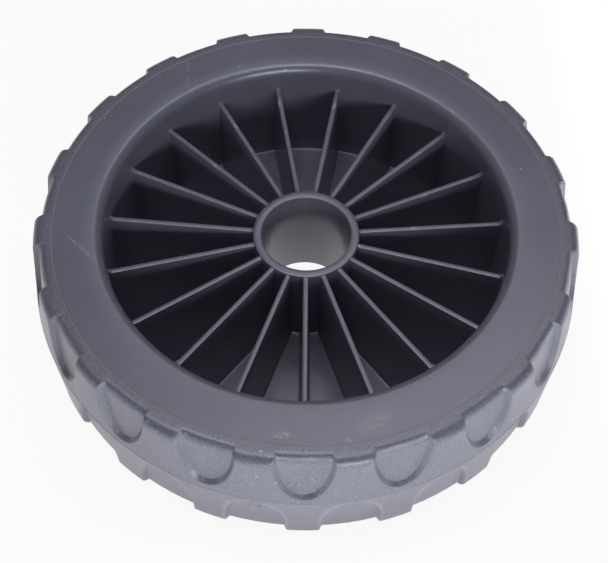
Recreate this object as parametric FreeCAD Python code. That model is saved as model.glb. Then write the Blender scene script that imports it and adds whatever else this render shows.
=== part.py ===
"""Lawn mower wheel, moulded in one piece from plastic.

The wheel lies with its axle upright along Z and its open, ribbed side up. The origin is on the axle line,
half way between the rim face and the end of the hub. Sizes are in millimetres and degrees.
"""
import FreeCAD, Part
import math
import os
from FreeCAD import Vector

# Overall size
tread_diameter = 183.0
rim_width = 46.4
hub_projection = 2.4

# Hub
bore_diameter = 30.0
hub_wall = 2.8
hub_recess = 9.8
hub_draft = 2.0
hub_edge = 0.4

# Web, the closed floor between hub and barrel
web_recess = 43.2
web_thickness = 2.6

# Barrel, the inner wall of the rim
barrel_diameter = 133.2
barrel_wall = 3.0
barrel_draft = 1.0
lip_round = 2.9

# Radial ribs between hub and barrel, repeated in the hollow behind the rim face
rib_count = 19
rib_thickness = 1.6
rib_recess = 10.4
rib_draft = 1.5
first_rib_angle = -90.0
heel_rise = 1.0
heel_set_in = 0.1

# Rim face and tread
rim_face_wall = 3.2
tread_wall = 3.2
hollow_draft = 2.0
parting_recess = 21.7
front_tread_draft = 6.8
back_tread_draft = 1.0
shoulder_round = 3.5

# U-shaped pockets between the tread lugs, one row in from each edge of the rim
front_pocket_width = 15.8
front_pocket_depth = 2.3
back_pocket_width = 17.5
back_pocket_depth = 1.8
pocket_end_depth = 1.5
front_pocket_gap = 2.5
back_pocket_gap = 0.4
pocket_end_length = 14.5
pocket_end_fullness = 0.82
pocket_wall_slope = 0.65
pocket_edge_lift = 0.4

# How far one form runs into or past its neighbour so that they join or cut cleanly
bite = 1.0

# Heights worked out from the sizes above
face_z = (rim_width + hub_projection) / 2
back_z = face_z - rim_width
parting_z = face_z - parting_recess
hub_top_z = face_z - hub_recess
hub_back_z = back_z - hub_projection
web_top_z = face_z - web_recess
web_back_z = web_top_z - web_thickness
rib_top_z = face_z - rib_recess
hollow_top_z = face_z - rim_face_wall

# Radii and angles worked out from the sizes above
bore_radius = bore_diameter / 2
hub_radius = bore_radius + hub_wall
tread_radius = tread_diameter / 2
rib_pitch = 360.0 / rib_count

axle = Vector(0, 0, 1)
middle = Vector(0, 0, 0)


def drift(length, draft):
    """Sideways step of a wall with this draft over this length."""
    return length * math.tan(math.radians(draft))


def hub_outside(z):
    return hub_radius + drift(hub_top_z - z, hub_draft)


def barrel_inside(z):
    return barrel_diameter / 2 - drift(face_z - z, barrel_draft)


def tread_outside(z):
    if z > parting_z:
        return tread_radius - drift(z - parting_z, front_tread_draft)
    return tread_radius - drift(parting_z - z, back_tread_draft)


def hollow_inside(z):
    return barrel_diameter / 2 + barrel_wall


def hollow_outside(z):
    top_radius = tread_outside(face_z) - front_pocket_depth - tread_wall
    return top_radius + drift(hollow_top_z - z, hollow_draft)


def around(shape, start_angle):
    """Copies of a shape at every rib position round the axle."""
    copies = []
    for i in range(rib_count):
        copy = shape.copy()
        copy.rotate(middle, axle, start_angle + i * rib_pitch)
        copies.append(copy)
    return copies


def eased(corner, before, after, rounding, flats):
    """Points that ease a corner: on an arc of this radius, joined by this many flats."""
    back = (before - corner).normalize()
    onward = (after - corner).normalize()
    half_angle = back.getAngle(onward) / 2
    arc_middle = corner + (back + onward).normalize() * (rounding / math.sin(half_angle))
    start = corner + back * (rounding / math.tan(half_angle)) - arc_middle
    end = corner + onward * (rounding / math.tan(half_angle)) - arc_middle
    sweep = math.pi - 2 * half_angle
    points = []
    for i in range(flats + 1):
        turn = sweep * i / flats
        share_start = math.sin(sweep - turn) / math.sin(sweep)
        share_end = math.sin(turn) / math.sin(sweep)
        points.append(arc_middle + start * share_start + end * share_end)
    return points


def turned_solid(corners):
    """Solid turned about the axle. A corner is a radius, a height, and its rounding and flats if eased."""
    points = [Vector(corner[0], 0, corner[1]) for corner in corners]
    outline = []
    for i, corner in enumerate(corners):
        if len(corner) == 2:
            outline.append(points[i])
        else:
            outline += eased(points[i], points[i - 1], points[(i + 1) % len(points)], *corner[2:])
    section = Part.Face(Part.makePolygon(outline + outline[:1]))
    return section.revolve(middle, axle, 360)


def turned_body():
    """Everything that is round: hub, web, barrel, rim face and the plain tread."""
    return turned_solid([
        (bore_radius, hub_back_z),
        (bore_radius, hub_top_z, hub_edge, 1),
        (hub_radius, hub_top_z, hub_edge, 1),
        (hub_outside(web_top_z), web_top_z),
        (barrel_inside(web_top_z), web_top_z),
        (barrel_inside(face_z), face_z, lip_round, 3),
        (tread_outside(face_z), face_z, shoulder_round, 2),
        (tread_radius, parting_z),
        (tread_outside(back_z), back_z, shoulder_round, 2),
        (hollow_outside(back_z), back_z),
        (hollow_outside(hollow_top_z), hollow_top_z),
        (hollow_inside(hollow_top_z), hollow_top_z),
        (hollow_inside(web_back_z), web_back_z),
        (hub_outside(web_back_z), web_back_z),
        (hub_outside(web_back_z), hub_back_z),
    ])


def rib_plan(z, inside, outside, half):
    """Plan of a rib along X at one height, run into the walls at both ends."""
    inner = inside(z) - bite
    outer = outside(z) + bite
    return [
        Vector(inner, half, z),
        Vector(outer, half, z),
        Vector(outer, -half, z),
        Vector(inner, -half, z),
    ]


def rib(edge_z, root_z, inside, outside, draft):
    """One flat-sided rib along X, from its free edge to its root."""
    buried_z = root_z + math.copysign(bite, root_z - edge_z)
    half_edge = rib_thickness / 2
    half_root = half_edge + drift(abs(buried_z - edge_z), draft)
    edge = rib_plan(edge_z, inside, outside, half_edge)
    root = rib_plan(buried_z, inside, outside, half_root)
    outlines = [edge, root]
    for i in range(len(edge)):
        outlines.append([edge[i - 1], edge[i], root[i], root[i - 1]])
    faces = [Part.Face(Part.makePolygon(outline + outline[:1])) for outline in outlines]
    return Part.Solid(Part.Shell(faces))


def rib_heel():
    """Small sloped heel where the top of a rib along X runs up the barrel wall."""
    wall = barrel_inside(rib_top_z)
    half = rib_thickness / 2 - heel_set_in
    outline = [
        Vector(wall - heel_rise - bite, -half, rib_top_z - bite),
        Vector(wall + bite, -half, rib_top_z + heel_rise + bite),
        Vector(wall + bite, -half, rib_top_z - bite),
    ]
    return Part.Face(Part.makePolygon(outline + outline[:1])).extrude(Vector(0, 2 * half, 0))


def pocket_outline(floor_width, floor_x, lift, bend_z, open_z):
    """U-shaped outline of a tread pocket along X, raised by this much from the line of the pocket floor."""
    widening = lift * pocket_wall_slope
    half = floor_width / 2 + widening
    pull_half = half * pocket_end_fullness
    pull_z = bend_z - 4 / 3 * (pocket_end_length + widening)
    sides = Part.makePolygon([
        Vector(floor_x(bend_z) + lift, half, bend_z),
        Vector(floor_x(open_z) + lift, half, open_z),
        Vector(floor_x(open_z) + lift, -half, open_z),
        Vector(floor_x(bend_z) + lift, -half, bend_z),
    ])
    closed_end = Part.BezierCurve()
    closed_end.setPoles([
        Vector(floor_x(bend_z) + lift, -half, bend_z),
        Vector(floor_x(pull_z) + lift, -pull_half, pull_z),
        Vector(floor_x(pull_z) + lift, pull_half, pull_z),
        Vector(floor_x(bend_z) + lift, half, bend_z),
    ])
    return Part.Wire(sides.Edges + [closed_end.toShape()])


def tread_pocket(edge_z, end_z, floor_width, floor_edge, floor_end):
    """Cutter for one pocket along X, closed at its end and open at the rim edge above it.

    Sloped walls go down to a floor round the axle, which has these radii at the edge and at the end."""
    top_z = edge_z + pocket_edge_lift
    past_z = edge_z + 2 * shoulder_round
    low_z = end_z - bite
    bend_z = end_z + pocket_end_depth * pocket_wall_slope + pocket_end_length
    lean = (floor_end - floor_edge) / (top_z - end_z)
    sunk = shoulder_round + bite
    outer = tread_radius + bite

    def floor_x(z):
        return floor_edge + (top_z - z) * lean

    walls = Part.makeLoft([
        pocket_outline(floor_width, floor_x, -sunk, bend_z, past_z),
        pocket_outline(floor_width, floor_x, outer - floor_edge, bend_z, past_z),
    ], True, True)
    floor = turned_solid([
        (floor_x(low_z), low_z),
        (floor_edge, top_z, shoulder_round, 2),
        (floor_edge - sunk, top_z),
        (floor_edge - sunk, past_z),
        (outer, past_z),
        (outer, low_z),
    ])
    floor.rotate(middle, axle, 180)
    return walls.common(floor)


def pocket_at(edge_z, end_z, width, depth):
    """Pocket cutter along X between two heights, with this width of floor and this depth at the rim edge."""
    side = math.copysign(1, edge_z)
    floor_edge = tread_outside(edge_z) - depth
    floor_end = tread_outside(end_z) - pocket_end_depth
    cutter = tread_pocket(side * edge_z, side * end_z, width, floor_edge, floor_end)
    if side < 0:
        return cutter.mirror(middle, axle)
    return cutter


def wheel():
    """The whole moulding."""
    front_rib = rib(rib_top_z, web_top_z, hub_outside, barrel_inside, rib_draft)
    back_rib = rib(web_back_z, hollow_top_z, hollow_inside, hollow_outside, 0)
    front_end_z = parting_z + front_pocket_gap
    back_end_z = parting_z - back_pocket_gap
    front_pocket = pocket_at(face_z, front_end_z, front_pocket_width, front_pocket_depth)
    back_pocket = pocket_at(back_z, back_end_z, back_pocket_width, back_pocket_depth)
    added = []
    for piece in (front_rib, rib_heel(), back_rib):
        added += around(piece, first_rib_angle)
    cuts = around(front_pocket, first_rib_angle)
    cuts += around(back_pocket, first_rib_angle + rib_pitch / 2)
    return turned_body().fuse(added).cut(cuts).removeSplitter()


os.makedirs("parts", exist_ok=True)
wheel().exportStep("parts/wheel.step")
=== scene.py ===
"""Looks of the lawn mower wheel: the moulded plastic wheel, the floor it lies on, lamps and camera."""
import bpy
import math
from mathutils import Matrix, Vector


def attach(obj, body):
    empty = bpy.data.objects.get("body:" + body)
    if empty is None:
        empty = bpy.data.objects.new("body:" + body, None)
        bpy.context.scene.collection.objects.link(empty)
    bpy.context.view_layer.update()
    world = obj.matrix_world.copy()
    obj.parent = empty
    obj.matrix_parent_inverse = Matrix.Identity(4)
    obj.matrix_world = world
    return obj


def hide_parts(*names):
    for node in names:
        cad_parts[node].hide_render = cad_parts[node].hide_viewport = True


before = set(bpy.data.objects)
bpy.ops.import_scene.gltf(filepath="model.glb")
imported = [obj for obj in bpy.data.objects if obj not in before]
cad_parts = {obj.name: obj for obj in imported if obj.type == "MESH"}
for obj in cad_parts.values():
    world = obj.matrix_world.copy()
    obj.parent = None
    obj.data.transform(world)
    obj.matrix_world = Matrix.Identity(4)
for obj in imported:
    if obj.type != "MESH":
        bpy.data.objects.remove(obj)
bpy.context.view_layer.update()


# Wheel
# One injection moulding in dark slate-grey plastic: nineteen thin ribs tie the hub to the rim over a closed
# web, and staggered U-shaped pockets in the tread meet at the mould's parting line. Half a pitch is shaped in
# millimetres as sheets that share edge points, then mirrored, turned round the axle and eased at its edges.

# Millimetres in a metre, for the places where the scene needs metres.
metre = 1000.0

# The faces at both ends lie a hair inside those of the solid.
rim_width = 46.4
hub_projection = 2.4
box_margin = 0.01
face_z = (rim_width + hub_projection) / 2 - box_margin
back_z = face_z + box_margin - rim_width
rib_count = 19
half_pitch = math.pi / rib_count

bore_radius = 15.0
hub_wall = 2.8
hub_recess = 9.8
hub_edge = 0.4
hub_lean = math.tan(math.radians(2.0))
hub_top_z = face_z - hub_recess
hub_back_z = -face_z

web_recess = 43.2
web_thickness = 2.6
web_top_z = face_z - web_recess
web_back_z = web_top_z - web_thickness

barrel_top_radius = 66.6
barrel_wall = 3.0
barrel_draft = math.radians(1.0)
lip_round = 2.9
lip_stretch = 1.4

rib_recess = 10.4
rib_half_top = 0.8
rib_lean = math.tan(math.radians(1.5))
rib_top_z = face_z - rib_recess
heel_rise = 1.0

rim_face_wall = 3.2
hollow_inner_radius = barrel_top_radius + barrel_wall
hollow_outer_radius = 83.4
hollow_lean = math.tan(math.radians(2.0))
hollow_top_z = face_z - rim_face_wall

tread_radius = 91.5
front_draft = math.radians(6.8)
back_draft = math.radians(1.0)
shoulder_round = 3.5
parting_recess = 21.7
parting_half_width = 0.22
parting_height = 0.22
parting_z = face_z - parting_recess

# A fine step divides the rim face from the edge of the tread.
step_radius = 82.5
step_width = 0.12
step_height = 0.1
step_margin = 0.12
rim_face_z = face_z - step_height

pocket_slope = 0.65
pocket_end_depth = 1.5
pocket_end_length = 14.5
pocket_end_fullness = 0.82
pocket_edge_lift = 0.4
pocket_least_wall = 0.5
front_pocket_half = 7.9
front_pocket_depth = 2.3
front_pocket_gap = 2.5
back_pocket_half = 8.75
back_pocket_depth = 1.8
back_pocket_gap = 0.5

# Places across a pocket wall from its foot, 0, to its rim, 1, each with its share of the pocket's depth.
wall_section = ((-0.16, 1.0), (0.0, 0.96), (0.16, 0.85), (0.84, 0.15), (1.0, 0.03), (1.12, 0.0))

# How finely each form is divided. The rows round a pocket's closed end fan out from a line on its floor.
cell_columns = 10
rib_stations = 8
rib_levels = 6
round_steps = 8
flank_steps = 2
face_steps = 3
lug_steps = 4
fan_side_rows = 6
fan_end_rows = 10
fan_reach = 0.7


def spread(first, last, steps):
    """Evenly spaced values from first to last."""
    return [first + (last - first) * i / steps for i in range(steps + 1)]


def spot(radius, angle, z):
    """Point at a radius and angle about the axle."""
    return (radius * math.cos(angle), radius * math.sin(angle), z)


def barrel_radius(z):
    return barrel_top_radius - (face_z - z) * math.tan(barrel_draft)


def hub_radius(z):
    return bore_radius + hub_wall + (hub_top_z - z) * hub_lean


def rib_half(z):
    return rib_half_top + (rib_top_z - z) * rib_lean


def hollow_radius(z):
    return hollow_outer_radius + (hollow_top_z - z) * hollow_lean


def cut_angles(radius, half):
    """Angles across a half pitch: the rib's middle, its side, and even steps to the middle of the cell."""
    return [0.0] + spread(math.asin(half / radius), half_pitch, cell_columns)


def along_rib(inner, outer, half):
    """Distances along a rib side, with a short first and last stretch, between two round walls."""
    first = math.sqrt(inner ** 2 - half ** 2)
    last = math.sqrt(outer ** 2 - half ** 2)
    return [first] + spread(first + heel_rise, last - heel_rise, rib_stations - 2) + [last]


def sheet(rows):
    """Grid object with its points at these rows."""
    bpy.ops.mesh.primitive_grid_add(x_subdivisions=len(rows[0]) - 1, y_subdivisions=len(rows) - 1)
    grid = bpy.context.object
    points = [value for row in rows for point in row for value in point]
    grid.data.vertices.foreach_set("co", points)
    return grid


def cell_sheets(levels, half, inner, outer, top_heel):
    """Walls and floor of a cell between two round walls, the side of its rib and the rib's free edge.

    Levels run from the free edge of the rib to its root."""
    edge_z, root_z = levels[0], levels[-1]
    seam_z = [edge_z + top_heel] * 2 + [edge_z] * cell_columns
    seam_angles = cut_angles(outer(edge_z), half(edge_z))
    outer_seam = [spot(outer(z), angle, z) for angle, z in zip(seam_angles, seam_z)]
    inner_seam = [spot(inner(edge_z), angle, edge_z) for angle in cut_angles(inner(edge_z), half(edge_z))]

    def wall_row(radius, z):
        return [spot(radius, angle, z) for angle in cut_angles(radius, half(z))[1:]]

    distances = along_rib(inner(root_z), outer(root_z), half(root_z))
    walls = [outer_seam[1:]]
    walls += [wall_row(outer(z), z) for z in levels[1:]]
    walls += [wall_row(math.hypot(x, half(root_z)), root_z) for x in reversed(distances[1:-1])]
    walls += [wall_row(inner(z), z) for z in reversed(levels[1:])]
    walls.append(inner_seam[1:])

    side = []
    for z in levels:
        side.append([(x, half(z), z) for x in along_rib(inner(z), outer(z), half(z))])
    side[0][0] = inner_seam[1]
    side[0][-1] = outer_seam[1]
    middle = [(point[0], 0.0, point[2]) for point in side[0]]
    middle[0] = inner_seam[0]
    middle[-1] = outer_seam[0]
    return [sheet(walls), sheet(side), sheet([middle, side[0]])], inner_seam, outer_seam


def round_points(corner_radius, lean, size, z, cut_z):
    """Rounding between a flat face at z and a flank that leans out by this angle, cut off at a height."""
    middle_radius = corner_radius - size / math.tan((math.pi / 2 + lean) / 2)
    first = math.asin((cut_z - z + size) / size)
    turns = spread(first, lean, round_steps)
    return [(middle_radius + size * math.cos(turn), z - size + size * math.sin(turn)) for turn in turns]


def tread_rows(side, edge_z, start_radius, draft, floor_half, edge_depth, gap):
    """One half of the tread from the rim edge to the parting line, with half a pocket at angle 0.

    Heights are counted towards the rim edge, so side is -1 for the back half, turned over at the end."""
    seam_z = side * parting_z + parting_half_width
    end_z = side * parting_z + gap
    bend_z = end_z + pocket_end_depth * pocket_slope + pocket_end_length
    top_z = edge_z + pocket_edge_lift

    def lug(z):
        """Radius of the tread between the pockets."""
        return tread_radius - parting_height - (z - side * parting_z) * math.tan(draft)

    floor_edge = lug(edge_z) - edge_depth
    floor_lean = (lug(end_z) - pocket_end_depth - floor_edge) / (top_z - end_z)

    def floor(z):
        """Radius of the pocket's floor."""
        return floor_edge + (top_z - z) * floor_lean

    def profile(radius_at, lean, z):
        """Radii and heights over the flat edge, the rounded shoulder and the flank down to the bend."""
        arc = round_points(radius_at(z), lean, shoulder_round, z, edge_z)
        flat_radii = [start_radius] + spread(start_radius + step_margin, arc[0][0], flank_steps)
        flat = [(radius, edge_z) for radius in flat_radii]
        flank = [(radius_at(z), z) for z in spread(arc[-1][1], bend_z, flank_steps)]
        return flat[:-1] + arc + flank[1:]

    def closed_end(lift, t):
        """Offset and height on the cubic curve round the end, from side to side as t goes from 0 to 1."""
        half = floor_half + lift * pocket_slope
        length = pocket_end_length + lift * pocket_slope
        across = half * ((1 - t) ** 3 + 3 * pocket_end_fullness * t * (1 - t) * (1 - 2 * t) - t ** 3)
        return Vector((across, bend_z - 4 * length * t * (1 - t)))

    rows = []
    lug_line = profile(lug, draft, edge_z)
    floor_line = profile(floor, math.atan(floor_lean), top_z)
    for (lug_r, lug_z), (floor_r, floor_z) in zip(lug_line, floor_line):
        width = max((lug_r - floor_r) * pocket_slope, pocket_least_wall)
        across = [(0.0, 1.0), (floor_half / 2, 1.0)]
        across += [(floor_half + place * width, share) for place, share in wall_section]
        row = []
        for offset, share in across:
            radius = lug_r + (floor_r - lug_r) * share
            row.append((radius, math.asin(offset / radius), lug_z + (floor_z - lug_z) * share))
        row += [(lug_r, angle, lug_z) for angle in spread(row[-1][1], half_pitch, lug_steps)[1:]]
        rows.append(row)

    fan_rows = fan_side_rows + fan_end_rows
    for k in range(1, fan_rows + 1):
        along_end = k / fan_rows / 2
        foot = closed_end(0.0, along_end)
        rim = closed_end(lug(foot.y) - floor(foot.y), along_end)
        start = Vector((0.0, bend_z - fan_reach * pocket_end_length * k / fan_rows))
        if k <= fan_side_rows:
            last_angle = half_pitch
            last_z = bend_z + (seam_z - bend_z) * k / fan_side_rows
        else:
            last_angle = half_pitch * (1 - (k - fan_side_rows) / fan_end_rows)
            last_z = seam_z
        end = Vector((lug(last_z) * math.sin(last_angle), last_z))
        room = (end - rim).length / 2
        flat = [(start, 1.0), ((start + foot) / 2, 1.0)]
        for place, share in wall_section:
            past = min(max(place - 1, 0) * (rim - foot).length, room)
            flat.append((foot + (rim - foot) * min(place, 1) + (end - rim).normalized() * past, share))
        edge = flat[-1][0]
        flat += [(edge + (end - edge) * step, 0.0) for step in spread(0.0, 1.0, lug_steps)[1:]]
        row = []
        for place, share in flat:
            radius = lug(place.y) + (floor(place.y) - lug(place.y)) * share
            row.append((radius, math.asin(place.x / radius), place.y))
        rows.append(row)

    if side > 0:
        return [[spot(*point) for point in row] for row in rows]
    return [[spot(radius, half_pitch - angle, -z) for radius, angle, z in reversed(row)] for row in rows]


bpy.ops.object.select_all(action="DESELECT")
sheets = []

# Ribs and cells of the open side, up to the seams with hub and barrel.
front_cells, hub_seam, barrel_seam = cell_sheets(
    spread(rib_top_z, web_top_z, rib_levels), rib_half, hub_radius, barrel_radius, heel_rise)
sheets += front_cells

# The hollow behind the rim face, with a straight rib behind each pocket.
hollow_cells, hollow_inner_seam, hollow_outer_seam = cell_sheets(
    spread(web_back_z, hollow_top_z, rib_levels), lambda z: rib_half_top,
    lambda z: hollow_inner_radius, hollow_radius, 0.0)
sheets += hollow_cells

# Hub, bore and the back of the web, turned between the hub seam and the hollow's inner seam. Ease is how far
# the middle of a rounded hub edge lies from both faces.
hub_angles = cut_angles(hub_radius(rib_top_z), rib_half(rib_top_z))
ease = hub_edge * (1 - math.sqrt(0.5))
hub_line = [
    (hub_radius(hub_top_z), hub_top_z - hub_edge),
    (hub_radius(hub_top_z) - ease, hub_top_z - ease),
    (hub_radius(hub_top_z) - hub_edge, hub_top_z),
    (bore_radius + hub_edge, hub_top_z),
    (bore_radius + ease, hub_top_z - ease),
    (bore_radius, hub_top_z - hub_edge),
    (bore_radius, 0.0),
    (bore_radius, hub_back_z),
    (hub_radius(web_back_z), hub_back_z),
    (hub_radius(web_back_z), web_back_z),
]
hub_rows = [hub_seam] + [[spot(radius, angle, z) for angle in hub_angles] for radius, z in hub_line]
sheets.append(sheet(hub_rows + [hollow_inner_seam]))

# Tread halves, joined by the fine ridge of the parting line. The rim of each pocket and its neighbour columns
# carry how pale they are, partly from wear and partly as a painted highlight, more in the back row. Columns
# are counted from the middle of the pocket.
rim_column = 6
front_rim_wear_and_glint = 0.3
back_rim_wear_and_glint = 1.0
rim_paling_beside = ((-1, 0.5), (0, 1.0), (1, 0.5))
front_tread = tread_rows(1, face_z, step_radius + step_width, front_draft,
                         front_pocket_half, front_pocket_depth, front_pocket_gap)
back_tread = tread_rows(-1, -back_z, hollow_radius(back_z), back_draft,
                        back_pocket_half, back_pocket_depth, back_pocket_gap)
front_sheet = sheet(front_tread)
back_sheet = sheet(back_tread)
sheets += [front_sheet, back_sheet]
columns = len(front_tread[0])
for tread_sheet, column, rim_strength in (
        (front_sheet, rim_column, front_rim_wear_and_glint), (back_sheet, columns - 1 - rim_column, back_rim_wear_and_glint)):
    rim_paling = tread_sheet.data.attributes.new("rim_wear_and_glint", "FLOAT", "POINT")
    for beside, share in rim_paling_beside:
        for i in range(column + beside, len(rim_paling.data), columns):
            rim_paling.data[i].value = rim_strength * share
front_edge = [row[-1] for row in reversed(front_tread[-fan_end_rows - 1:])]
back_edge = [row[0] for row in back_tread[-fan_end_rows - 1:]]
ridge = [spot(tread_radius, angle, parting_z) for angle in spread(0.0, half_pitch, fan_end_rows)]
sheets.append(sheet([front_edge, ridge, back_edge]))
sheets.append(sheet([hollow_outer_seam, back_tread[0]]))

# Barrel above the ribs, its lip and the flat rim face, which lies a fine step below the tread's edge.
corner = barrel_radius(rim_face_z)
lip_line = [(2 * corner - radius, rim_face_z - (rim_face_z - z) * lip_stretch)
            for radius, z in round_points(corner, -barrel_draft, lip_round, rim_face_z, rim_face_z)]
face_radii = spread(lip_line[0][0], step_radius - step_margin, face_steps) + [step_radius]
face_line = [(radius, rim_face_z) for radius in face_radii]
barrel_levels = spread(rib_top_z + 2 * heel_rise, lip_line[-1][1], flank_steps)
rim_line = [(barrel_radius(z), z) for z in barrel_levels[:-1]]
rim_line += list(reversed(lip_line)) + face_line[1:]
barrel_angles = [math.atan2(point[1], point[0]) for point in barrel_seam]
tread_angles = [math.atan2(point[1], point[0]) for point in front_tread[0]]
rim_rows = [barrel_seam]
for i, (radius, z) in enumerate(rim_line):
    share = (i + 1) / (len(rim_line) + 1)
    angles = [a + (b - a) * share for a, b in zip(barrel_angles, tread_angles)]
    rim_rows.append([spot(radius, angle, z) for angle in angles])
sheets.append(sheet(rim_rows + [front_tread[0]]))

# One pitch from two halves, all pitches round the axle, and small rounds on the sharp edges.
merge_distance = 0.002
sharp_fold = math.radians(62)
smooth_fold = math.radians(35)
edge_round = 0.25
edge_flats = 2
full_turn = 2 * math.pi
bpy.ops.object.select_all(action="DESELECT")
for piece in sheets:
    piece.select_set(True)
wheel = sheets[0]
bpy.context.view_layer.objects.active = wheel
bpy.ops.object.join()
wheel.name = "moulded_wheel"
wheel.data.name = "moulded_wheel"
bpy.ops.object.mode_set(mode="EDIT")
bpy.ops.mesh.select_all(action="SELECT")
bpy.ops.mesh.remove_doubles(threshold=merge_distance)
bpy.ops.mesh.duplicate()
bpy.ops.transform.resize(value=(1, -1, 1), center_override=(0, 0, 0))
bpy.ops.mesh.select_all(action="SELECT")
bpy.ops.transform.rotate(value=full_turn / 4, orient_axis="Z", center_override=(0, 0, 0))
bpy.ops.mesh.spin(steps=rib_count - 1, dupli=True, angle=full_turn * (rib_count - 1) / rib_count,
                  center=(0, 0, 0), axis=(0, 0, 1))
bpy.ops.mesh.select_all(action="SELECT")
bpy.ops.mesh.remove_doubles(threshold=merge_distance)
bpy.ops.mesh.normals_make_consistent(inside=False)
bpy.ops.mesh.select_all(action="DESELECT")
bpy.ops.mesh.select_mode(type="EDGE")
bpy.ops.mesh.edges_select_sharp(sharpness=sharp_fold)
bpy.ops.mesh.bevel(offset=edge_round, segments=edge_flats, affect="EDGES")
bpy.ops.mesh.select_all(action="SELECT")
bpy.ops.transform.resize(value=(1 / metre, 1 / metre, 1 / metre), center_override=(0, 0, 0))
bpy.ops.object.mode_set(mode="OBJECT")
bpy.ops.object.shade_smooth_by_angle(angle=smooth_fold)
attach(wheel, "root")
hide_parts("wheel")

# The plastic is one satin slate grey all through, with a fine moulded grain, faint draw lines along the axle
# and a grittier tread. Specks of pale dust, scuffs and a nick lie on it, with painted glints, painted
# highlight lines round the axle and pocket rims paled partly by wear and partly as a painted highlight, with
# their places in millimetres.
dark_slate = (0.104, 0.105, 0.145, 1)
light_slate = (0.140, 0.142, 0.192, 1)
dark_grit = (0.070, 0.071, 0.100, 1)
light_grit = (0.185, 0.187, 0.240, 1)
# Pale colour of the scuffs, and of the painted glints and painted highlight lines.
pale_scuff_and_highlight = (0.34, 0.34, 0.375, 1)
pale_dust = (0.42, 0.42, 0.45, 1)
dark_nick = (0.02, 0.02, 0.03, 1)
gloss = 0.8
gloss_tint = (0.87, 0.88, 1.0, 1)
least_roughness = 0.27
most_roughness = 0.35
pale_mark_roughness = 0.2
broad_share = 0.3
grain_share = 0.4
drawn_share = 0.3
grit_share = 0.7
rim_share = 0.7
tread_fade = 0.3
grain_height = 0.06
grain_strength = 0.15
grit_height = 2.5


def in_metres(*sizes):
    """Sizes in millimetres, given in metres."""
    return tuple(size / metre for size in sizes)


def feed(tree, socket, value):
    """Set a socket to a value, or link it where the value is a socket too."""
    if isinstance(value, bpy.types.NodeSocket):
        tree.links.new(value, socket)
    else:
        socket.default_value = value


def put(tree, kind, inputs):
    """Node with its inputs fed with these values."""
    node = tree.nodes.new(kind)
    for name, value in inputs.items():
        feed(tree, node.inputs[name], value)
    return node


def math_node(tree, operation, first, second):
    node = put(tree, "ShaderNodeMath", {0: first, 1: second})
    node.operation = operation
    return node.outputs["Value"]


def vector_node(tree, operation, first, second):
    node = put(tree, "ShaderNodeVectorMath", {0: first, 1: second})
    node.operation = operation
    return node.outputs["Value" if operation == "LENGTH" else "Vector"]


def ramp(tree, value, low, high, start=0.0, end=1.0):
    """Smooth step of a value from start, at low, to end, at high."""
    node = put(tree, "ShaderNodeMapRange", {"Value": value, "From Min": low, "From Max": high,
                                            "To Min": start, "To Max": end})
    node.interpolation_type = "SMOOTHSTEP"
    return node.outputs["Result"]


def new_group(name, sockets):
    """Empty node group with these inputs, as name and kind, and one output, Amount."""
    group = bpy.data.node_groups.new(name, "ShaderNodeTree")
    for socket, kind in sockets:
        group.interface.new_socket(socket, in_out="INPUT", socket_type=kind)
    group.interface.new_socket("Amount", in_out="OUTPUT", socket_type="NodeSocketFloat")
    return group, group.nodes.new("NodeGroupInput").outputs, group.nodes.new("NodeGroupOutput").inputs


# Cloud: patches of the surface between 0 and 1, of a size in metres that may differ along each axis.
cloud, given, out = new_group("cloud", [("Position", "NodeSocketVector"), ("Patch", "NodeSocketVector"),
                                        ("Low", "NodeSocketFloat"), ("High", "NodeSocketFloat")])
place = vector_node(cloud, "DIVIDE", given["Position"], given["Patch"])
noise = put(cloud, "ShaderNodeTexNoise", {"Vector": place, "Scale": 1.0, "Detail": 3.0})
cloud.links.new(ramp(cloud, noise.outputs["Fac"], given["Low"], given["High"]), out["Amount"])

# Speck: small round spots in some of the cells of a grid of this size in metres.
speck, given, out = new_group("speck", [("Position", "NodeSocketVector"), ("Cell", "NodeSocketFloat"),
                                        ("Spot", "NodeSocketFloat"), ("Share", "NodeSocketFloat")])
place = vector_node(speck, "DIVIDE", given["Position"], given["Cell"])
cells = put(speck, "ShaderNodeTexVoronoi", {"Vector": place, "Scale": 1.0})
tint = put(speck, "ShaderNodeSeparateColor", {"Color": cells.outputs["Color"]})
chosen = math_node(speck, "LESS_THAN", tint.outputs["Red"], given["Share"])
spot_size = math_node(speck, "MULTIPLY", tint.outputs["Green"], given["Spot"])
near = math_node(speck, "LESS_THAN", cells.outputs["Distance"], spot_size)
speck.links.new(math_node(speck, "MULTIPLY", near, chosen), out["Amount"])

# Scuff and glint: one soft stroke round a centre, turned about the axle's direction, at full strength in its
# core.
# It draws the scuffs, the painted glints and the nick.
stroke_core = 0.35
scuff_and_glint, given, out = new_group("scuff_and_glint", [("Position", "NodeSocketVector"), ("Centre", "NodeSocketVector"),
                                        ("Half Size", "NodeSocketVector"), ("Turn", "NodeSocketFloat"),
                                        ("Strength", "NodeSocketFloat")])
place = vector_node(scuff_and_glint, "SUBTRACT", given["Position"], given["Centre"])
turned = put(scuff_and_glint, "ShaderNodeVectorRotate", {"Vector": place, "Angle": given["Turn"]})
stroke = vector_node(scuff_and_glint, "DIVIDE", turned.outputs["Vector"], given["Half Size"])
inside = ramp(scuff_and_glint, vector_node(scuff_and_glint, "LENGTH", stroke, (0, 0, 0)), 1.0, stroke_core)
scuff_and_glint.links.new(math_node(scuff_and_glint, "MULTIPLY", inside, given["Strength"]), out["Amount"])

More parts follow.
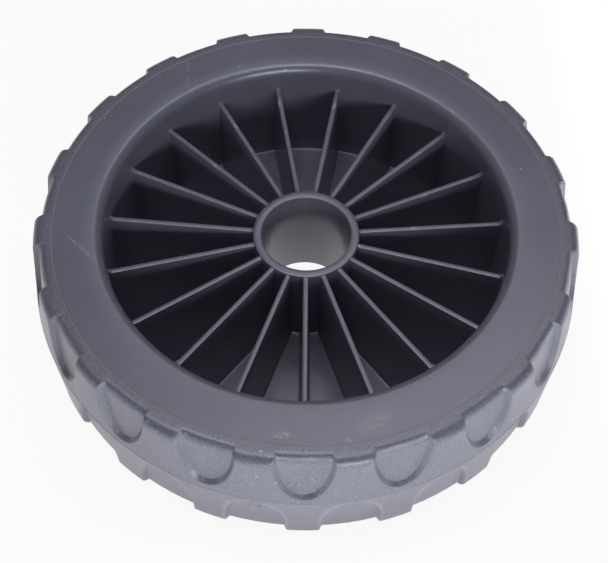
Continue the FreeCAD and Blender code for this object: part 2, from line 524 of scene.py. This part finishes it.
# Ring: a fine line round the axle at a radius and a height in metres, seen within this reach of it.
ring_core = 0.4
ring, given, out = new_group("ring", [("Position", "NodeSocketVector"), ("Radius", "NodeSocketFloat"),
                                      ("Height", "NodeSocketFloat"), ("Reach", "NodeSocketFloat"),
                                      ("Strength", "NodeSocketFloat")])
level = vector_node(ring, "MULTIPLY", given["Position"], (1, 1, 0))
out_by = math_node(ring, "SUBTRACT", vector_node(ring, "LENGTH", level, (0, 0, 0)), given["Radius"])
height = put(ring, "ShaderNodeSeparateXYZ", {"Vector": given["Position"]}).outputs["Z"]
up_by = math_node(ring, "SUBTRACT", height, given["Height"])
offset = put(ring, "ShaderNodeCombineXYZ", {"X": out_by, "Y": up_by}).outputs["Vector"]
away = math_node(ring, "DIVIDE", vector_node(ring, "LENGTH", offset, (0, 0, 0)), given["Reach"])
line = ramp(ring, away, 1.0, ring_core)
ring.links.new(math_node(ring, "MULTIPLY", line, given["Strength"]), out["Amount"])

# Scuffs on the rim face: x, y, z, half length, half width, turn in degrees, strength.
mark_depth = 1.0
face_marks = (
    (-6.3, -79.0, face_z, 4.5, 1.6, 0, 0.7),
    (11.6, -83.5, face_z, 1.6, 0.5, 30, 0.8),
    (13.0, -80.4, face_z, 2.2, 0.7, -20, 0.7),
    (20.3, -74.8, face_z, 8.0, 4.0, 25, 0.45),
    (-43.2, 66.8, face_z, 4.2, 0.8, 98, 0.45),
    (-43.0, 60.6, face_z, 4.2, 0.8, 80, 0.45),
    (-41.0, 55.1, face_z, 3.6, 0.8, 60, 0.4),
    (-73.0, -13.0, face_z, 11.0, 0.7, -41, 0.45),
    (-70.5, -16.0, face_z, 8.0, 0.6, -41, 0.35),
    (71.2, -29.3, face_z, 0.6, 0.5, 0, 0.9),
    (50.8, 46.6, face_z, 2.6, 0.6, -60, 0.5),
)

# Pale marks on the free edges of the ribs: x, y.
rib_mark_half_length = 2.0
rib_mark_half_width = 0.9
rib_marks = (
    (-34.0, 13.8), (-32.1, 28.9), (-25.6, 47.2), (-10.4, 58.6), (9.7, 58.0),
    (27.7, 52.0), (39.2, 35.6), (40.4, 16.8), (36.6, 3.1),
)

# Painted glints on the tread, with the same columns. The last one is a pale scuff round a dark nick.
tread_glints_and_scuff = (
    (62.2, -25.3, 22.5, 1.2, 0.9, 65, 0.9),
    (-29.9, -84.9, 5.8, 0.9, 0.9, 0, 0.8),
    (-34.2, -78.9, 23.6, 1.4, 0.8, 24, 0.8),
    (35.2, -78.4, 23.7, 1.4, 0.8, -24, 0.8),
    (59.1, -63.0, 23.3, 1.3, 0.8, -44, 0.8),
    (-13.7, -88.6, 16.4, 0.6, 0.6, 0, 0.9),
    (-56.7, -69.7, 6.2, 0.9, 0.9, 0, 0.8),
    (56.7, -70.0, 6.0, 0.9, 0.9, 0, 0.8),
    (58.1, -68.0, 8.1, 0.7, 0.9, 0, 0.7),
    (-74.3, -41.9, 24.2, 1.2, 0.8, 61, 0.7),
    (-13.4, -88.5, -5.2, 1.5, 1.5, 8, 0.9),
)
nick_place = (-13.4, -88.5, -5.5)
nick_half = 1.2
# Every pale mark: scuffs on the face, pale marks on the ribs and painted glints on the tread.
scuffs_and_glints = list(face_marks + tread_glints_and_scuff)
for x, y in rib_marks:
    along = math.degrees(math.atan2(y, x))
    scuffs_and_glints.append((x, y, rib_top_z, rib_mark_half_length, rib_mark_half_width, along, 1.0))

# Painted highlight lines round the axle: radius, z, reach, strength. They are painted highlights at the foot
# of the barrel, along the parting line and on the step at the edge of the rim face.
painted_highlight_lines = (
    (barrel_radius(web_top_z), web_top_z, 0.5, 0.7),
    (tread_radius, parting_z, 0.35, 0.4),
    (step_radius + step_width, face_z, 0.25, 0.25),
)

plastic = bpy.data.materials.new("slate_plastic")
plastic.use_nodes = True
tree = plastic.node_tree
shader = tree.nodes["Principled BSDF"]
shader.inputs["Specular IOR Level"].default_value = gloss
shader.inputs["Specular Tint"].default_value = gloss_tint
position = tree.nodes.new("ShaderNodeTexCoord").outputs["Object"]


def amount(group, inputs):
    """Output of a copy of one of the groups above."""
    node = tree.nodes.new("ShaderNodeGroup")
    node.node_tree = group
    for name, value in {"Position": position, **inputs}.items():
        feed(tree, node.inputs[name], value)
    return node.outputs["Amount"]


def tinted(under, over, share):
    """Colour over another by a share. A Mix node's colours are its inputs 6 and 7 and its output 2."""
    node = tree.nodes.new("ShaderNodeMix")
    node.data_type = "RGBA"
    feed(tree, node.inputs["Factor"], share)
    feed(tree, node.inputs[6], under)
    feed(tree, node.inputs[7], over)
    return node.outputs[2]


def added(value, share, rest):
    """Rest and a share of a value."""
    node = tree.nodes.new("ShaderNodeMath")
    node.operation = "MULTIPLY_ADD"
    feed(tree, node.inputs[0], value)
    feed(tree, node.inputs[1], share)
    feed(tree, node.inputs[2], rest)
    return node.outputs["Value"]


# Patches of tone, grain, draw lines and grit, and where the tread begins.
broad = amount(cloud, {"Patch": in_metres(30.0, 30.0, 30.0), "Low": 0.3, "High": 0.7})
grain = amount(cloud, {"Patch": in_metres(0.9, 0.9, 0.9), "Low": 0.0, "High": 1.0})
drawn = amount(cloud, {"Patch": in_metres(1.6, 1.6, 30.0), "Low": 0.15, "High": 0.85})
patchy = amount(cloud, {"Patch": in_metres(1.1, 1.1, 1.1), "Low": 0.3, "High": 0.75})
grit = amount(cloud, {"Patch": in_metres(0.45, 0.45, 0.45), "Low": 0.3, "High": 0.7})
radius = vector_node(tree, "LENGTH", vector_node(tree, "MULTIPLY", position, (1, 1, 0)), (0, 0, 0))
on_tread = ramp(tree, radius, (step_radius - tread_fade) / metre, (step_radius + tread_fade) / metre)
tread_grit = math_node(tree, "MULTIPLY", grit, on_tread)

# Dust, which is denser on the tread.
dust = amount(speck, {"Cell": 4.2 / metre, "Spot": 0.085, "Share": 0.22})
tread_dust = amount(speck, {"Cell": 2.2 / metre, "Spot": 0.1, "Share": 0.5})
tread_dust = math_node(tree, "MULTIPLY", tread_dust, on_tread)
dust = math_node(tree, "MAXIMUM", dust, tread_dust)

# Wear and painted highlights: pocket rims paled partly by wear and partly as a painted highlight, scuffs and
# painted glints broken up by patches, and painted highlight lines round the axle.
# Pocket rims are paled partly by wear and partly as a painted highlight.
rim = put(tree, "ShaderNodeAttribute", {})
rim.attribute_name = "rim_wear_and_glint"
pale_rim_and_glint = ramp(tree, rim.outputs["Fac"], 0.0, 1.0)
wear_and_highlight = pale_rim_and_glint
for x, y, z, half_length, half_width, turn, strength in scuffs_and_glints:
    stroke_amount = amount(scuff_and_glint, {
        "Centre": in_metres(x, y, z),
        "Half Size": in_metres(half_length, half_width, mark_depth),
        "Turn": -math.radians(turn),
        "Strength": strength,
    })
    wear_and_highlight = math_node(tree, "MAXIMUM", wear_and_highlight, stroke_amount)
wear_and_highlight = math_node(tree, "MULTIPLY", wear_and_highlight, patchy)
wear_and_highlight = math_node(tree, "MAXIMUM", wear_and_highlight, math_node(tree, "MULTIPLY", pale_rim_and_glint, rim_share))
# Painted highlight lines round the axle join the pale mask.
for line_radius, z, reach, strength in painted_highlight_lines:
    line_amount = amount(ring, {
        "Radius": line_radius / metre,
        "Height": z / metre,
        "Reach": reach / metre,
        "Strength": strength,
    })
    wear_and_highlight = math_node(tree, "MAXIMUM", wear_and_highlight, line_amount)
nick = amount(scuff_and_glint, {
    "Centre": in_metres(*nick_place),
    "Half Size": in_metres(nick_half, nick_half, nick_half),
    "Turn": 0.0,
    "Strength": 1.0,
})

# Colour from the plastic outwards, then roughness and the fine relief of the grain.
mottle = math_node(tree, "MULTIPLY", broad, broad_share)
mottle = added(grain, grain_share, mottle)
mottle = added(drawn, drawn_share, mottle)
slate = tinted(dark_slate, light_slate, mottle)
gritty = tinted(dark_grit, light_grit, grit)
slate = tinted(slate, gritty, math_node(tree, "MULTIPLY", on_tread, grit_share))
# Pale colour over scuffs, painted glints, painted highlight lines and the pocket rims, which are partly a
# painted highlight.
scuffed_and_highlit = tinted(slate, pale_scuff_and_highlight, wear_and_highlight)
nicked = tinted(scuffed_and_highlit, dark_nick, nick)
tree.links.new(tinted(nicked, pale_dust, dust), shader.inputs["Base Color"])
satin = ramp(tree, mottle, 0.0, 1.0, least_roughness, most_roughness)
tree.links.new(added(wear_and_highlight, pale_mark_roughness, satin), shader.inputs["Roughness"])
relief = added(tread_grit, grit_height, grain)
bump = put(tree, "ShaderNodeBump", {
    "Strength": grain_strength,
    "Distance": grain_height / metre,
    "Height": relief,
})
tree.links.new(bump.outputs["Normal"], shader.inputs["Normal"])
wheel.data.materials.clear()
wheel.data.materials.append(plastic)


# Floor
# A wide sheet of white paper that the wheel lies on. To the camera and in reflections most of it is an even
# white, and the rest is the paper as the lamps light it, which keeps the wheel's soft shadow.
floor_size = 200
paper_share = 0.08
paper_colour = (0.85, 0.85, 0.85, 1)
paper_roughness = 0.9
bpy.ops.object.select_all(action="DESELECT")
bpy.ops.mesh.primitive_plane_add(size=floor_size, location=(0, 0, hub_back_z / metre))
floor_sheet = bpy.context.object
floor_sheet.name = "floor"
bpy.ops.object.transform_apply(location=True, rotation=True, scale=True)
pale = bpy.data.materials.new("white_paper")
pale.use_nodes = True
floor_sheet.data.materials.append(pale)
nodes = pale.node_tree.nodes
links = pale.node_tree.links
paper = nodes["Principled BSDF"]
paper.inputs["Base Color"].default_value = paper_colour
paper.inputs["Roughness"].default_value = paper_roughness
white = nodes.new("ShaderNodeEmission")
white.inputs["Strength"].default_value = 1.0
evened = nodes.new("ShaderNodeMixShader")
evened.inputs["Fac"].default_value = paper_share
links.new(white.outputs["Emission"], evened.inputs[1])
links.new(paper.outputs["BSDF"], evened.inputs[2])
path = nodes.new("ShaderNodeLightPath")
seen = path.outputs["Is Camera Ray"]
for ray in ("Is Glossy Ray", "Is Transmission Ray"):
    either = nodes.new("ShaderNodeMath")
    either.operation = "MAXIMUM"
    links.new(seen, either.inputs[0])
    links.new(path.outputs[ray], either.inputs[1])
    seen = either.outputs["Value"]
shown = nodes.new("ShaderNodeMixShader")
links.new(seen, shown.inputs["Fac"])
links.new(paper.outputs["BSDF"], shown.inputs[1])
links.new(evened.outputs["Shader"], shown.inputs[2])
links.new(shown.outputs["Shader"], nodes["Material Output"].inputs["Surface"])


# Lamps
# A plain soft studio: three lamps overhead, a wide one low at the front right, and two narrow beams straight
# down on the paper in front and at the right, so that the tread is lit from the white below it.
beam_spread = math.radians(16)
surround_strength = 0.05


def soft_lamp(name, place, aim, width, height, power):
    """Oblong lamp at a place in metres, turned to the point that it is aimed at, with its power in watts."""
    data = bpy.data.lights.new(name, "AREA")
    data.shape = "RECTANGLE"
    data.size = width
    data.size_y = height
    data.energy = power
    lamp = bpy.data.objects.new(name, data)
    bpy.context.collection.objects.link(lamp)
    lamp.location = place
    lamp.rotation_euler = (Vector(aim) - lamp.location).to_track_quat("-Z", "Y").to_euler()
    return data


axle_middle = (0, 0, 0)
soft_lamp("overhead_lamp", (0, -0.03, 0.6), axle_middle, 0.3, 0.3, 1.25)
soft_lamp("overhead_back_lamp", (0.2, 0.41, 0.89), axle_middle, 0.8, 0.3, 1.7)
soft_lamp("overhead_left_lamp", (-0.34, 0.04, 0.94), axle_middle, 0.25, 0.25, 0.9)
soft_lamp("front_lamp", (0.28, -0.96, 0.22), axle_middle, 0.5, 0.2, 4.2)
front_beam = soft_lamp("front_paper_lamp", (0.08, -0.28, 0.35), (0.08, -0.28, 0), 0.6, 0.28, 2.8)
right_beam = soft_lamp("right_paper_lamp", (0.28, 0.02, 0.35), (0.28, 0.02, 0), 0.28, 0.4, 2.6)
front_beam.spread = beam_spread
right_beam.spread = beam_spread
world = bpy.data.worlds.new("surround")
bpy.context.scene.world = world
world.use_nodes = True
surround = world.node_tree.nodes["Background"]
surround.inputs["Color"].default_value = (1, 1, 1, 1)
surround.inputs["Strength"].default_value = surround_strength


# Camera
# It looks down at the near side of the wheel from the photograph's place, which was fitted to the ellipses of
# rim, barrel and bore. The eye and the point aimed at, on the rim face, are in metres.
image_width = 608
focal_pixels = 1080.0
sensor_width = 36.0
eye_height = 0.3057
eye_distance = 0.2143
aim_x = -0.0004
aim_y = -0.02614
roll = math.radians(0.983)
turn = math.radians(-0.42)
eye = Vector((0.0, -eye_distance, eye_height))
aim = Vector((aim_x, aim_y, face_z / metre))
camera_data = bpy.data.cameras.new("camera")
camera_data.sensor_width = sensor_width
camera_data.lens = focal_pixels * sensor_width / image_width
camera = bpy.data.objects.new("camera", camera_data)
bpy.context.collection.objects.link(camera)
camera.matrix_world = (Matrix.Rotation(turn, 4, "Z") @ Matrix.Translation(eye)
                       @ (aim - eye).to_track_quat("-Z", "Y").to_matrix().to_4x4()
                       @ Matrix.Rotation(roll, 4, "Z"))
bpy.context.scene.camera = camera
bpy.context.scene.view_settings.view_transform = "Standard"
